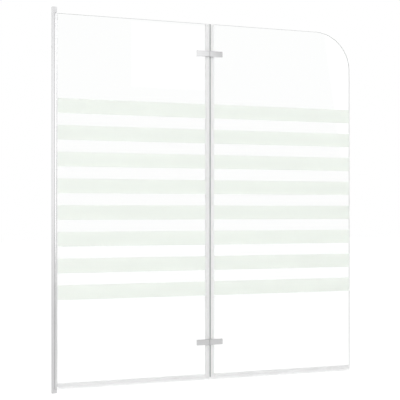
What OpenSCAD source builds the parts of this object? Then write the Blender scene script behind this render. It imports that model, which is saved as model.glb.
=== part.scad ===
// Folding bath screen. One glass panel pivots in a wall channel, and a second
// panel is hinged to it and folds back on it.
// Frame: x runs from the wall to the free edge, z runs up, and y runs through
// the glass, with the plain hinge faces on -y and the knuckles on +y.
// Origin: on the wall face, in the middle of the channel, at its foot.

/* [Screen] */
// Distance from the wall to the free edge
screen_w = 1200; // [1100:10:1300]
// Height of the wall channel
screen_h = 1400; // [1340:10:1600]
// Distance from the wall to the fold line
fold_x = 601; // [500:1:650]

/* [Glass] */
// Thickness of the glass
glass_t = 5; // [4:0.5:6]
// Gap between the two panes at the fold
fold_gap = 7; // [6.5:0.5:9]
// Distance from the fold line to the middle of the gap between the panes
gap_shift = 2.6; // [0:0.1:3]
// Radius of the top corner at the free edge
corner_r = 150; // [60:5:300]
// Height of the glass's lower edge above the foot of the channel
glass_foot = 22; // [20:1:26]
// Gap between the glass's top edge and the head bracket
glass_head_gap = 0.6; // [0.4:0.1:2]

/* [Frosted bands] */
// Number of bands
band_count = 8; // [4:1:9]
// Height of one band
band_h = 53.5; // [30:0.5:70]
// Distance from one band to the next
band_pitch = 97.2; // [80:0.1:102]
// Height of the lowest band above the foot of the channel
band_foot = 336; // [200:1:400]
// Thickness of the frosted coat
band_t = 0.25; // [0.1:0.05:0.4]
// Thickness of the bond between the coat and the glass
band_bond = 0.05; // [0.03:0.01:0.1]

/* [Wall channel] */
// Thickness of the channel's base
base_t = 2; // [1.6:0.1:2.6]
// Thickness of the channel's arms
arm_t = 1.6; // [1.2:0.1:2.4]
// Distance from the wall to the ends of the arms
arm_reach = 10.2; // [7:0.1:10.2]
// Clearance between the pivot tube and each arm
channel_clear = 0.5; // [0.4:0.1:1]
// Radius of the wall screw holes
wall_hole_r = 2.75; // [2:0.25:3.5]
// Distance from each end of the channel to its nearest wall screw
wall_hole_inset = 145; // [80:5:250]
// Number of wall screws
wall_hole_count = 4; // [2:1:6]

/* [Brackets] */
// Height of the head bracket
head_h = 21; // [18:0.5:26]
// Height of the foot bracket
foot_h = 15; // [13:0.5:17]
// Reach of the brackets past the pivot axis
nose_reach = 5; // [5:0.1:5.6]
// Radius of the bracket's upright corners
nose_r = 3; // [2.8:0.1:4]
// Height of the slope under the head bracket
slope_h = 8; // [4:0.5:10]
// Wall left between the bush and the slope
slope_wall = 0.4; // [0.3:0.1:1]
// Clearance between a bracket and each arm
bracket_fit = 0.1; // [0.05:0.05:0.2]
// Radius of the bracket screws
bracket_screw_r = 2; // [1.5:0.25:2.5]
// Radius of the bracket screws' heads
bracket_head_r = 3.6; // [3.2:0.1:4.2]
// Gap between a bracket screw's tip and the bush
bracket_screw_tip = 0.8; // [0.5:0.1:2]

/* [Pivot] */
// Distance from the wall to the pivot axis
pivot_x = 14; // [13:0.5:16]
// Radius of the pivot tube
tube_r = 6; // [5.8:0.1:6.5]
// Wall of the pivot tube
tube_wall = 1.5; // [1.2:0.1:1.6]
// Gap between the gasket's corners and the tube's bore
bite_gap = 0.35; // [0.2:0.05:1]
// Radius of the pivot pins
pivot_pin_r = 2; // [1.5:0.1:2.2]
// Running clearance round a pin
pin_run = 0.05; // [0.03:0.01:0.1]
// Wall of the bushes
bush_wall = 0.8; // [0.6:0.05:1]
// Width of the bush flange
flange_w = 1.2; // [0.5:0.05:1.4]
// Thickness of the bush flange
flange_t = 1; // [0.8:0.1:1.5]
// Length of the bush's barrel
bush_len = 10; // [8:0.5:11]
// Gap between the bush and the turning tube
thrust_gap = 0.3; // [0.2:0.05:0.5]
// Length of the tube's end plugs
plug_len = 24; // [20:1:40]
// Distance from a plug's inner end to its screw
plug_screw_edge = 5; // [4:0.5:8]
// Gap between a pivot pin's end and the plug's screw
pin_gap = 3; // [1:0.5:6]
// Radius of the plug's screws
plug_screw_r = 2; // [1.5:0.1:2.2]
// Thickness of the glazing gasket
gasket_t = 0.5; // [0.4:0.05:0.6]
// Width of the gasket's lip outside the tube
gasket_lip = 1.5; // [1.2:0.1:3]

/* [Seals] */
// Wall of the seals
seal_t = 1; // [0.8:0.1:1.2]
// Thickness of the web across the edge of the glass
web_t = 1.2; // [0.8:0.1:1.5]
// Width of the inner pane's fold seal on the glass
inner_fold_leg = 15.1; // [10:0.1:18]
// Width of the outer pane's fold seal on the glass
outer_fold_leg = 13.2; // [10:0.1:18]
// Height of the bottom seal on the glass
bottom_leg = 11.3; // [8:0.1:16]
// Drop of the bottom seal's blades below its web
blade_drop = 8.8; // [4:0.1:12]
// Thickness of a blade at its tip
blade_tip = 0.5; // [0.4:0.1:0.8]
// Outer radius of the soft bulb in the fold
bulb_r = 3.2; // [2.4:0.1:3.3]
// Gap between the soft bulb and the inner pane's seal
bulb_gap = 0.7; // [0.2:0.1:1]
// Wall of the soft bulb
bulb_wall = 0.8; // [0.5:0.1:1]
// Gap between the bottom seal and its neighbours
seal_gap = 0.3; // [0.2:0.1:1]

/* [Hinges] */
// Distance from the glass's lower edge to the middle of the lower hinge
hinge_foot = 135; // [80:1:250]
// Distance from the glass's top edge to the middle of the upper hinge
hinge_head = 115; // [60:1:200]
// Height of a hinge
hinge_h = 21.5; // [20:0.5:30]
// Length of one hinge leaf
leaf_l = 51.2; // [50:0.2:60]
// Height of a back plate beside its knuckle block
back_h = 14.5; // [12:0.5:18]
// Distance from a front plate's end back to its back plate's end
back_short = 5; // [2:0.5:6]
// Distance from the fold line to the end of the knuckle block
block_l = 14; // [10:0.5:15]
// Thickness of a clamp plate
plate_t = 4.5; // [4.4:0.1:6]
// Chamfer round a clamp plate's face
plate_chamfer = 0.5; // [0.2:0.1:1]
// Gap between the two front leaves
leaf_gap = 1.2; // [0.4:0.1:1.6]
// Thickness of the pad under a plate
pad_t = 1; // [0.5:0.1:1.5]
// Inset of the pad from the plate's edges
pad_inset = 1.5; // [0.5:0.1:2]
// Distance from a plate's back face to the hinge axis
knuckle_rise = 0.4; // [0.4:0.1:0.6]
// Outer radius of the knuckles
knuckle_r = 4.5; // [4:0.1:4.5]
// Height of the middle knuckle
middle_knuckle_h = 7; // [6:0.5:9]
// Thickness of the washers between the knuckles
washer_t = 0.4; // [0.3:0.1:0.8]
// Clearance between the washers and the middle knuckle
washer_clear = 0.2; // [0.15:0.05:0.3]
// Clearance between the knuckles and the other leaf's plate
knuckle_clear = 1; // [0.6:0.1:1.5]
// Radius of the hinge pin
hinge_pin_r = 2; // [1.5:0.1:2.4]
// Inset of the hinge pin's ends
pin_inset = 0.5; // [0:0.1:2]
// Distance from the fold line to the near clamp screw
near_screw = 20; // [18:0.5:22]
// Distance from the leaf's end to the far clamp screw
far_screw = 11; // [10.5:0.1:13]
// Radius of the clamp screws
clamp_screw_r = 2.5; // [2:0.1:3]
// Radius of the clamp screws' heads
clamp_head_r = 4.6; // [4:0.1:5]
// Depth of the clamp screws' thread in the front plate
thread_depth = 3; // [2:0.1:3.5]
// Radius of the holes in the glass
glass_hole_r = 6; // [5:0.1:7]
// Clearance round a sleeve in its glass hole
sleeve_fit = 0.2; // [0.1:0.05:0.5]

/* [Hidden] */
$fn = 48;

// How far a cut runs past the face that it opens
over = 1;
// Clearance of a screw in a hole that it only passes through
pass = 0.2;
// Size of a hexagon socket as a share of its screw's radius
socket_share = 0.7;
// Depth of a hexagon socket
socket_depth = 1.5;
// Depth of a screw head below the face around it
head_sink = 0.1;
// Straight land between a bracket screw's head and the bracket
head_land = 0.2;
// Length of a bracket's thread ahead of its screw's tip
thread_end_gap = 0.3;
// Gap between a bush's barrel and the bottom of its pocket
bush_end_gap = 0.5;
// Distance from a pivot pin's end to the end of its bush
pin_end_gap = 1;
// Chamfer of a pivot pin's ends
pin_chamfer = 0.4;
// Clearance between a plug and the tube
plug_fit = 0.05;
// Depth of a plug screw's end below the tube's surface
plug_screw_sink = 0.3;
// Depth of a plug's rib below the tube's surface
rib_sink = 0.4;
// Gap between the plugs and the notches in the glass
notch_gap = 0.5;
// Gap between a plug's rib and the glass beside it
rib_gap = 0.3;
// Gap between the gaskets and the tube's slot
slot_gap = 0.1;
// Inset of the washers from the outside of the knuckles
washer_inset = 0.3;
// Distance from the bands and the bottom seal to the free edge
edge_gap = 1;

// Channel and brackets
channel_in = tube_r + channel_clear;
channel_half = channel_in + arm_t;
bracket_half = channel_in - bracket_fit;
nose_x = pivot_x + nose_reach;
bush_r = pivot_pin_r + bush_wall;
slope_x = pivot_x + bush_r + slope_wall;
bracket_screw_end = pivot_x - bush_r - bracket_screw_tip;
bracket_head_h = base_t - head_land;
bracket_screw_levels = [foot_h / 2, screen_h - head_h / 2];
head_z = screen_h - head_h;
wall_hole_pitch = (screen_h - 2 * wall_hole_inset) / (wall_hole_count - 1);
wall_hole_levels = [for (i = [0:wall_hole_count - 1]) wall_hole_inset + i * wall_hole_pitch];

// Pivot tube and its ends
tube_z0 = foot_h + flange_t + thrust_gap;
tube_z1 = head_z - flange_t - thrust_gap;
tube_bore_r = tube_r - tube_wall;
flange_r = bush_r + flange_w;
bush_pocket = bush_len + bush_end_gap;
pin_in_bush = bush_len + flange_t - pin_end_gap;
plug_screw_z = plug_len - plug_screw_edge;
pin_in_plug = plug_screw_z - plug_screw_r - pin_gap;
plug_screw_levels = [tube_z0 + plug_screw_z, tube_z1 - plug_screw_z];
rib_end = tube_r - rib_sink;
glass_half = glass_t / 2;
glazed_half = glass_half + gasket_t;
slot_half = glazed_half + slot_gap;

// Glass
glass_z0 = glass_foot;
glass_z1 = head_z - glass_head_gap;
glass_x0 = pivot_x + bite_gap - sqrt(pow(tube_bore_r, 2) - pow(glazed_half, 2));
notch_x = pivot_x + rib_end + rib_gap;
lip_x = pivot_x + tube_r + gasket_lip;
inner_edge = fold_x + gap_shift - fold_gap / 2;
outer_edge = fold_x + gap_shift + fold_gap / 2;

// Seals
seal_half = glass_half + seal_t;

// Hinges
hinge_levels = [glass_z0 + hinge_foot, glass_z1 - hinge_head];
plate_in = glass_half + pad_t;
plate_out = plate_in + plate_t;
axis_y = plate_out + knuckle_rise;
front_end = leaf_gap / 2;
back_end = knuckle_r + knuckle_clear;
leaf_end = front_end + leaf_l;
back_leaf_end = leaf_end - back_short;
half_hinge = hinge_h / 2;
half_back = back_h / 2;
half_middle = middle_knuckle_h / 2;
outer_knuckle_z = half_middle + washer_clear + washer_t;
outer_knuckle_h = half_hinge - outer_knuckle_z;
screw_offsets = [near_screw, leaf_end - far_screw];
clamp_head_h = clamp_head_r - clamp_screw_r;
seal_cut = half_hinge + seal_gap;

// ---- Shared shapes ----

// A block between two corners
module block(low, high) {
    translate(low)
        cube(high - low);
}

// A prism of a y-z section that runs along x
module along_x(x0, x1) {
    translate([x0, 0, 0])
        rotate([90, 0, 90])
            linear_extrude(x1 - x0)
                children();
}

// A prism of an x-z section that runs from -half to half along y
module along_y(half) {
    translate([0, half, 0])
        rotate([90, 0, 0])
            linear_extrude(2 * half)
                children();
}

// A rod along y from y0 to y1
module rod_y(x, z, r, y0, y1) {
    translate([x, y1, z])
        rotate([90, 0, 0])
            cylinder(r = r, h = y1 - y0);
}

// Puts its children on one side of the fold line: -1 is the wall side, 1 the free side
module fold_side(side) {
    translate([fold_x, 0, 0])
        mirror([side < 0 ? 1 : 0, 0, 0])
            children();
}

// ---- Wall frame ----

module wall_channel() {
    color([0.84, 0.84, 0.85])
        difference() {
            block([0, -channel_half, 0], [arm_reach, channel_half, screen_h]);
            block([base_t, -channel_in, -over], [arm_reach + over, channel_in, screen_h + over]);
            for (z = wall_hole_levels)
                translate([-over, 0, z])
                    rotate([0, 90, 0])
                        cylinder(r = wall_hole_r, h = base_t + 2 * over);
            for (z = bracket_screw_levels)
                bracket_screw_hole(z);
        }
}

// The countersunk hole of a bracket screw through the channel's base
module bracket_screw_hole(z) {
    translate([-over, 0, z])
        rotate([0, 90, 0])
            cylinder(r = bracket_screw_r + pass, h = base_t + 2 * over);
    translate([0, 0, z])
        rotate([0, 90, 0])
            cylinder(r1 = bracket_head_r + pass, r2 = bracket_screw_r + pass, h = bracket_head_h);
}

// The plan of a bracket: square against the wall, round at its nose
module bracket_plan() {
    translate([base_t, -bracket_half])
        square([nose_x - nose_r - base_t, 2 * bracket_half]);
    translate([base_t, -bracket_half + nose_r])
        square([nose_x - base_t, 2 * (bracket_half - nose_r)]);
    for (s = [-1, 1])
        translate([nose_x - nose_r, s * (bracket_half - nose_r)])
            circle(r = nose_r);
}

// The thread of a bracket screw in its bracket
module bracket_thread(z) {
    translate([base_t - over, 0, z])
        rotate([0, 90, 0])
            cylinder(r = bracket_screw_r, h = bracket_screw_end - base_t + over);
}

module foot_bracket() {
    color([0.78, 0.78, 0.79])
        difference() {
            linear_extrude(foot_h)
                bracket_plan();
            translate([pivot_x, 0, foot_h - bush_pocket])
                cylinder(r = bush_r, h = bush_pocket + over);
            bracket_thread(bracket_screw_levels[0]);
        }
}

module head_bracket() {
    color([0.78, 0.78, 0.79])
        difference() {
            translate([0, 0, head_z])
                linear_extrude(head_h)
                    bracket_plan();
            along_y(channel_half)
                polygon([[slope_x, head_z], [slope_x, head_z - over], [nose_x + over, head_z - over],
                         [nose_x + over, head_z + slope_h], [nose_x, head_z + slope_h]]);
            translate([pivot_x, 0, head_z - over])
                cylinder(r = bush_r, h = bush_pocket + over);
            bracket_thread(bracket_screw_levels[1]);
        }
}

// A flanged bush with its flange's seat at z = 0 and its barrel below
module bush() {
    color("whitesmoke")
        difference() {
            union() {
                translate([0, 0, -bush_len])
                    cylinder(r = bush_r, h = bush_len);
                cylinder(r = flange_r, h = flange_t);
            }
            translate([0, 0, -bush_len - over])
                cylinder(r = pivot_pin_r + pin_run, h = bush_len + flange_t + 2 * over);
        }
}

module foot_bush() {
    translate([pivot_x, 0, foot_h])
        bush();
}

module head_bush() {
    translate([pivot_x, 0, head_z])
        mirror([0, 0, 1])
            bush();
}

module bracket_screws() {
    color([0.6, 0.6, 0.62])
        for (z = bracket_screw_levels)
            translate([head_sink, 0, z])
                rotate([0, 90, 0])
                    difference() {
                        union() {
                            cylinder(r1 = bracket_head_r, r2 = bracket_screw_r, h = bracket_head_h);
                            cylinder(r = bracket_screw_r, h = bracket_screw_end - thread_end_gap);
                        }
                        translate([0, 0, -over])
                            cylinder(r = bracket_screw_r * socket_share, h = socket_depth + over, $fn = 6);
                    }
}

// ---- Pivot tube ----

module pivot_tube() {
    color([0.86, 0.86, 0.87])
        translate([pivot_x, 0, 0])
            difference() {
                translate([0, 0, tube_z0])
                    cylinder(r = tube_r, h = tube_z1 - tube_z0);
                translate([0, 0, tube_z0 - over])
                    cylinder(r = tube_bore_r, h = tube_z1 - tube_z0 + 2 * over);
                block([0, -slot_half, tube_z0 - over], [tube_r + over, slot_half, tube_z1 + over]);
                for (z = plug_screw_levels)
                    rod_y(0, z, plug_screw_r, 0, tube_r + over);
            }
}

// An end plug that stands on z = 0, with its rib in the tube's slot
module plug() {
    color([0.75, 0.75, 0.76])
        difference() {
            union() {
                cylinder(r = tube_bore_r - plug_fit, h = plug_len);
                block([0, -slot_half + plug_fit, 0], [rib_end, slot_half - plug_fit, plug_len]);
            }
            translate([0, 0, -over])
                cylinder(r = pivot_pin_r, h = pin_in_plug + over);
            rod_y(0, plug_screw_z, plug_screw_r, 0, tube_r);
        }
}

module foot_plug() {
    translate([pivot_x, 0, tube_z0])
        plug();
}

module head_plug() {
    translate([pivot_x, 0, tube_z1])
        mirror([0, 0, 1])
            plug();
}

// A pivot pin that runs from its bush into its plug, with chamfered ends
module pivot_pin() {
    pin_len = pin_in_bush + pin_in_plug;
    end_r = pivot_pin_r - pin_chamfer;
    color([0.7, 0.7, 0.72])
        translate([0, 0, -pin_in_bush])
            rotate_extrude()
                polygon([[0, 0], [end_r, 0], [pivot_pin_r, pin_chamfer], [pivot_pin_r, pin_len - pin_chamfer],
                         [end_r, pin_len], [0, pin_len]]);
}

module foot_pivot_pin() {
    translate([pivot_x, 0, tube_z0])
        pivot_pin();
}

module head_pivot_pin() {
    translate([pivot_x, 0, tube_z1])
        mirror([0, 0, 1])
            pivot_pin();
}

module plug_screws() {
    color([0.6, 0.6, 0.62])
        for (z = plug_screw_levels)
            translate([pivot_x, 0, 0])
                difference() {
                    rod_y(0, z, plug_screw_r, 0, tube_r - plug_screw_sink);
                    rod_y(0, z, plug_screw_r * socket_share, tube_r - plug_screw_sink - socket_depth, tube_r,
                          $fn = 6);
                }
}

// The space that the end plugs take from the glass and its gaskets
module plug_notches() {
    block([0, -channel_half, 0],
          [notch_x, channel_half, tube_z0 + plug_len + notch_gap]);
    block([0, -channel_half, tube_z1 - plug_len - notch_gap],
          [notch_x, channel_half, screen_h]);
}

module glazing_gaskets() {
    color([0.9, 0.9, 0.9])
        difference() {
            for (y = [glass_half, -glass_half - gasket_t])
                block([glass_x0, y, glass_z0], [lip_x, y + gasket_t, glass_z1]);
            plug_notches();
        }
}

// ---- Glass ----

// The clamp holes through a pane, measured from the fold line
module glass_holes() {
    for (z = hinge_levels, x = screw_offsets)
        rod_y(x, z, glass_hole_r, -glass_half - over, glass_half + over);
}

module inner_glass() {
    color([0.85, 0.93, 0.9, 0.5])
        difference() {
            block([glass_x0, -glass_half, glass_z0], [inner_edge, glass_half, glass_z1]);
            plug_notches();
            fold_side(-1)
                glass_holes();
        }
}

// The outline of the outer pane, with one round corner
module outer_outline() {
    translate([outer_edge, glass_z0])
        square([screen_w - outer_edge, glass_z1 - corner_r - glass_z0]);
    translate([outer_edge, glass_z0])
        square([screen_w - corner_r - outer_edge, glass_z1 - glass_z0]);
    translate([screen_w - corner_r, glass_z1 - corner_r])
        circle(r = corner_r, $fn = 96);
}

module outer_glass() {
    color([0.85, 0.93, 0.9, 0.5])
        difference() {
            along_y(glass_half)
                outer_outline();
            fold_side(1)
                glass_holes();
        }
}

// Frosted bands on the front of a pane, from x0 to x1
module bands(x0, x1) {
    color([0.94, 0.97, 0.93])
        for (i = [0:band_count - 1])
            block([x0, -glass_half - band_bond - band_t, band_foot + i * band_pitch],
                  [x1, -glass_half - band_bond, band_foot + i * band_pitch + band_h]);
}

module inner_bands() {
    bands(lip_x + seal_gap, inner_edge - inner_fold_leg - seal_gap);
}

module outer_bands() {
    bands(outer_edge + outer_fold_leg + seal_gap, screen_w - edge_gap);
}

// ---- Seals ----

// The plan of a fold seal whose pane starts at x = 0 and whose legs run to x = leg
module fold_seal_plan(leg) {
    difference() {
        translate([-web_t, -seal_half])
            square([web_t + leg, 2 * seal_half]);
        translate([0, -glass_half])
            square([leg + over, glass_t]);
    }
}

// A fold seal along a pane's whole edge, cut away at the hinges
module fold_seal(side, edge, leg) {
    color([0.93, 0.94, 0.94])
        difference() {
            translate([edge, 0, glass_z0])
                mirror([side < 0 ? 1 : 0, 0, 0])
                    linear_extrude(glass_z1 - glass_z0)
                        fold_seal_plan(leg);
            for (z = hinge_levels)
                block([fold_x - leaf_l, -channel_half, z - seal_cut],
                      [fold_x + leaf_l, channel_half, z + seal_cut]);
        }
}

module inner_fold_seal() {
    fold_seal(-1, inner_edge, inner_fold_leg);
}

module outer_fold_seal() {
    fold_seal(1, outer_edge, outer_fold_leg);
}

// The plan of a bulb's outside or bore: a straight stretch that ends in a half circle
module bulb_plan(r, centre_x) {
    translate([centre_x, 0])
        circle(r = r);
    translate([centre_x, -r])
        square([-centre_x + over, 2 * r]);
}

module fold_bulb() {
    reach = fold_gap - 2 * web_t - bulb_gap;
    color([0.66, 0.68, 0.68])
        translate([outer_edge - web_t, 0, glass_z0])
            linear_extrude(glass_z1 - glass_z0)
                intersection() {
                    difference() {
                        bulb_plan(bulb_r, bulb_r - reach);
                        bulb_plan(bulb_r - bulb_wall, bulb_r - reach);
                    }
                    translate([-reach, -bulb_r])
                        square([reach, 2 * bulb_r]);
                }
}

// The y-z section of the bottom seal's two legs
module bottom_legs() {
    for (s = [-1, 1])
        translate([s * (glass_half + seal_t / 2) - seal_t / 2, glass_z0])
            square([seal_t, bottom_leg]);
}

// The y-z section of the bottom seal's web and the two blades below it
module bottom_blades() {
    web_z = glass_z0 - web_t;
    translate([-seal_half, web_z])
        square([2 * seal_half, web_t]);
    for (s = [-1, 1])
        polygon([[s * seal_half, web_z], [s * (seal_half - seal_t), web_z],
                 [s * (seal_half - blade_tip), web_z - blade_drop], [s * seal_half, web_z - blade_drop]]);
}

module inner_bottom_seal() {
    color([0.9, 0.92, 0.92])
        union() {
            along_x(lip_x + seal_gap, inner_edge - inner_fold_leg - seal_gap)
                bottom_legs();
            along_x(lip_x + seal_gap, inner_edge + web_t)
                bottom_blades();
        }
}

module outer_bottom_seal() {
    color([0.9, 0.92, 0.92])
        union() {
            along_x(outer_edge + outer_fold_leg + seal_gap, screen_w - edge_gap)
                bottom_legs();
            along_x(outer_edge - web_t, screen_w - edge_gap)
                bottom_blades();
        }
}

// ---- Hinges ----

// A clamp plate from x0 to x1 past the fold line and from -half to half in height,
// with its seat at y = 0 and its chamfered face at y = plate_t
module clamp_plate(x0, x1, half) {
    c = plate_chamfer;
    intersection() {
        along_x(x0, x1)
            polygon([[0, -half], [plate_t - c, -half], [plate_t, -half + c],
                     [plate_t, half - c], [plate_t - c, half], [0, half]]);
        translate([0, 0, -half])
            linear_extrude(2 * half)
                polygon([[x0, 0], [x1, 0], [x1, plate_t - c], [x1 - c, plate_t],
                         [x0 + c, plate_t], [x0, plate_t - c]]);
    }
}

// A front plate at a hinge level: it is plain outside and threaded from inside
module front_plate(side, z) {
    color([0.8, 0.8, 0.81])
        fold_side(side)
            translate([0, 0, z])
                difference() {
                    translate([0, -plate_in, 0])
                        mirror([0, 1, 0])
                            clamp_plate(front_end, leaf_end, half_hinge);
                    for (x = screw_offsets)
                        rod_y(x, 0, clamp_screw_r, -plate_in - thread_depth, -plate_in + over);
                }
}

// The hole of a clamp screw through a back plate, with its countersink
module clamp_screw_hole(x) {
    rod_y(x, 0, clamp_screw_r + pass, plate_in - over, plate_out + over);
    translate([x, plate_out, 0])
        rotate([90, 0, 0])
            cylinder(r1 = clamp_head_r + pass, r2 = clamp_screw_r + pass, h = clamp_head_h);
}

// A back plate at a hinge level: knuckles is a list of [bottom, height]
module back_plate(side, z, knuckles, bore_r) {
    color([0.8, 0.8, 0.81])
        fold_side(side)
            translate([0, 0, z])
                difference() {
                    union() {
                        translate([0, plate_in, 0]) {
                            clamp_plate(back_end, back_leaf_end, half_back);
                            clamp_plate(back_end, block_l, half_hinge);
                        }
                        for (k = knuckles) {
                            block([0, plate_in, k[0]], [back_end + over, plate_out, k[0] + k[1]]);
                            translate([0, axis_y, k[0]])
                                cylinder(r = knuckle_r, h = k[1]);
                        }
                    }
                    translate([0, axis_y, -half_hinge - over])
                        cylinder(r = bore_r, h = hinge_h + 2 * over);
                    for (x = screw_offsets)
                        clamp_screw_hole(x);
                }
}

module inner_back_plate(z) {
    back_plate(-1, z, [[-half_hinge, outer_knuckle_h], [outer_knuckle_z, outer_knuckle_h]], hinge_pin_r);
}

module outer_back_plate(z) {
    back_plate(1, z, [[-half_middle, middle_knuckle_h]], hinge_pin_r + pin_run);
}

module lower_hinge_inner_front() {
    front_plate(-1, hinge_levels[0]);
}

module upper_hinge_inner_front() {
    front_plate(-1, hinge_levels[1]);
}

module lower_hinge_outer_front() {
    front_plate(1, hinge_levels[0]);
}

module upper_hinge_outer_front() {
    front_plate(1, hinge_levels[1]);
}

module lower_hinge_inner_back() {
    inner_back_plate(hinge_levels[0]);
}

module upper_hinge_inner_back() {
    inner_back_plate(hinge_levels[1]);
}

module lower_hinge_outer_back() {
    outer_back_plate(hinge_levels[0]);
}

module upper_hinge_outer_back() {
    outer_back_plate(hinge_levels[1]);
}

module hinge_pin(z) {
    color([0.7, 0.7, 0.72])
        translate([fold_x, axis_y, z - half_hinge + pin_inset])
            cylinder(r = hinge_pin_r, h = hinge_h - 2 * pin_inset);
}

module lower_hinge_pin() {
    hinge_pin(hinge_levels[0]);
}

module upper_hinge_pin() {
    hinge_pin(hinge_levels[1]);
}

module hinge_washers() {
    color("whitesmoke")
        for (z = hinge_levels, s = [-1, 1])
            translate([fold_x, axis_y, z + s * (outer_knuckle_z - washer_t / 2) - washer_t / 2])
                difference() {
                    cylinder(r = knuckle_r - washer_inset, h = washer_t);
                    translate([0, 0, -over])
                        cylinder(r = hinge_pin_r + pin_run, h = washer_t + 2 * over);
                }
}

// A pad from y0 towards +y under a clamp plate that runs from start to end past the
// fold line and is 2 * half high
module pad(z, y0, start, end, half) {
    difference() {
        block([start + pad_inset, y0, z - half + pad_inset],
              [end - pad_inset, y0 + pad_t, z + half - pad_inset]);
        for (x = screw_offsets)
            rod_y(x, z, clamp_screw_r + pass, y0 - over, y0 + pad_t + over);
    }
}

// The pads of one panel's clamp plates, front and back
module pads(side) {
    front_start = max(front_end, fold_gap / 2 + side * gap_shift);
    back_start = max(back_end, fold_gap / 2 + side * gap_shift);
    color([0.25, 0.25, 0.26])
        for (z = hinge_levels)
            fold_side(side) {
                pad(z, -plate_in, front_start, leaf_end, half_hinge);
                pad(z, glass_half, back_start, back_leaf_end, half_back);
            }
}

module inner_hinge_pads() {
    pads(-1);
}

module outer_hinge_pads() {
    pads(1);
}

// The sleeves that keep one panel's clamp screws off the glass
module sleeves(side) {
    color("whitesmoke")
        for (z = hinge_levels, x = screw_offsets)
            fold_side(side)
                difference() {
                    rod_y(x, z, glass_hole_r - sleeve_fit, -glass_half, glass_half);
                    rod_y(x, z, clamp_screw_r + pass, -glass_half - over, glass_half + over);
                }
}

module inner_hinge_sleeves() {
    sleeves(-1);
}

module outer_hinge_sleeves() {
    sleeves(1);
}

// One panel's clamp screws, driven from the back
module clamp_screws(side) {
    head_y = plate_out - head_sink;
    color([0.65, 0.65, 0.67])
        for (z = hinge_levels, x = screw_offsets)
            fold_side(side)
                difference() {
                    union() {
                        rod_y(x, z, clamp_screw_r, -plate_in - thread_depth, head_y);
                        translate([x, head_y, z])
                            rotate([90, 0, 0])
                                cylinder(r1 = clamp_head_r, r2 = clamp_screw_r, h = clamp_head_h);
                    }
                    rod_y(x, z, clamp_screw_r * socket_share, head_y - socket_depth, head_y + over, $fn = 6);
                }
}

module inner_hinge_screws() {
    clamp_screws(-1);
}

module outer_hinge_screws() {
    clamp_screws(1);
}

wall_channel();
head_bracket();
foot_bracket();
head_bush();
foot_bush();
bracket_screws();
pivot_tube();
head_plug();
foot_plug();
head_pivot_pin();
foot_pivot_pin();
plug_screws();
glazing_gaskets();
inner_glass();
inner_bands();
inner_fold_seal();
inner_bottom_seal();
upper_hinge_inner_front();
upper_hinge_inner_back();
lower_hinge_inner_front();
lower_hinge_inner_back();
upper_hinge_pin();
lower_hinge_pin();
hinge_washers();
inner_hinge_pads();
inner_hinge_sleeves();
inner_hinge_screws();
outer_glass();
outer_bands();
outer_fold_seal();
fold_bulb();
outer_bottom_seal();
upper_hinge_outer_front();
upper_hinge_outer_back();
lower_hinge_outer_front();
lower_hinge_outer_back();
outer_hinge_pads();
outer_hinge_sleeves();
outer_hinge_screws();
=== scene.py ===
"""Folding bath screen: meshes and finishes of every visible piece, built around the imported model.

Lengths are in metres in the model's own frame: x runs from the wall to the free edge, z runs up,
and y runs through the glass, with the plain hinge faces on -y and the knuckles on +y.
"""

import logging
import math
from abc import ABC, abstractmethod
from dataclasses import dataclass, field
from enum import Enum
from functools import cached_property

import bmesh
import bpy
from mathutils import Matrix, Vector


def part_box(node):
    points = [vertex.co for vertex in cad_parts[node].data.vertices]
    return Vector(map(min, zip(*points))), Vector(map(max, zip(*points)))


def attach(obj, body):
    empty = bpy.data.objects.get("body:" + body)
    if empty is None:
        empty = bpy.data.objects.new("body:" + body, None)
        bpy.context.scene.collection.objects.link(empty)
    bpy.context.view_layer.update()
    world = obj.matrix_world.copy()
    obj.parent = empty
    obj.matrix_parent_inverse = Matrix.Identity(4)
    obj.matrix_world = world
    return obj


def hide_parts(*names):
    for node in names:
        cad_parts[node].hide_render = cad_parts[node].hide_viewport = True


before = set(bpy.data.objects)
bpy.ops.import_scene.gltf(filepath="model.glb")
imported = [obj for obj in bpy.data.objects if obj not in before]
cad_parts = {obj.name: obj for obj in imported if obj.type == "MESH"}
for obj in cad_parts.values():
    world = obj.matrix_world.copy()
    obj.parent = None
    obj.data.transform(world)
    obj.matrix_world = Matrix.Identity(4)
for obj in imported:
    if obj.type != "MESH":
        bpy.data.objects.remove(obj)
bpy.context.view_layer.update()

LOG = logging.getLogger("bath_screen")
MM = 0.001
SEAL_GAP = 0.3 * MM  # between a fold seal and its neighbours
TOUCH = 0.01 * MM  # two levels closer than this are the same
WELD = 0.001 * MM  # vertices closer than this are one
FLAT = math.radians(1)  # faces that meet at less than this are one flat face
CAD_FLAT = math.radians(0.5)  # the same for the triangles of a CAD face
SHARP = math.radians(35)  # faces that meet at more than this are shaded apart
FACING = 0.99  # least cosine between an axis and the normal of a face that looks along it

Pair = tuple[float, float]
Triple = tuple[float, float, float]
Point = Pair
Colour = Triple
Mesh = bmesh.types.BMesh
Tree = bpy.types.NodeTree
Node = bpy.types.Node
Socket = bpy.types.NodeSocket


class Body(Enum):
    """The moving bodies that the pieces ride on."""

    WALL = "wall_frame"
    INNER = "inner_panel"
    OUTER = "outer_panel"


class Slot(Enum):
    """The record's material slots."""

    PROFILE = "profile_aluminium"
    BRACKET = "bracket_metal"
    HINGE = "hinge_metal"
    FASTENER = "fastener_steel"
    GLASS = "clear_glass"
    FROST = "frosted_coat"
    SEAL = "clear_seal"
    GASKET = "gasket_rubber"
    BULB = "bulb_rubber"
    PAD = "pad_rubber"
    NYLON = "nylon"


class Axis(Enum):
    """A direction that a section is drawn out along."""

    X = (1.0, 0.0, 0.0)
    Y = (0.0, 1.0, 0.0)
    Z = (0.0, 0.0, 1.0)


# ---- Node trees and shared effects ----


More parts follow.
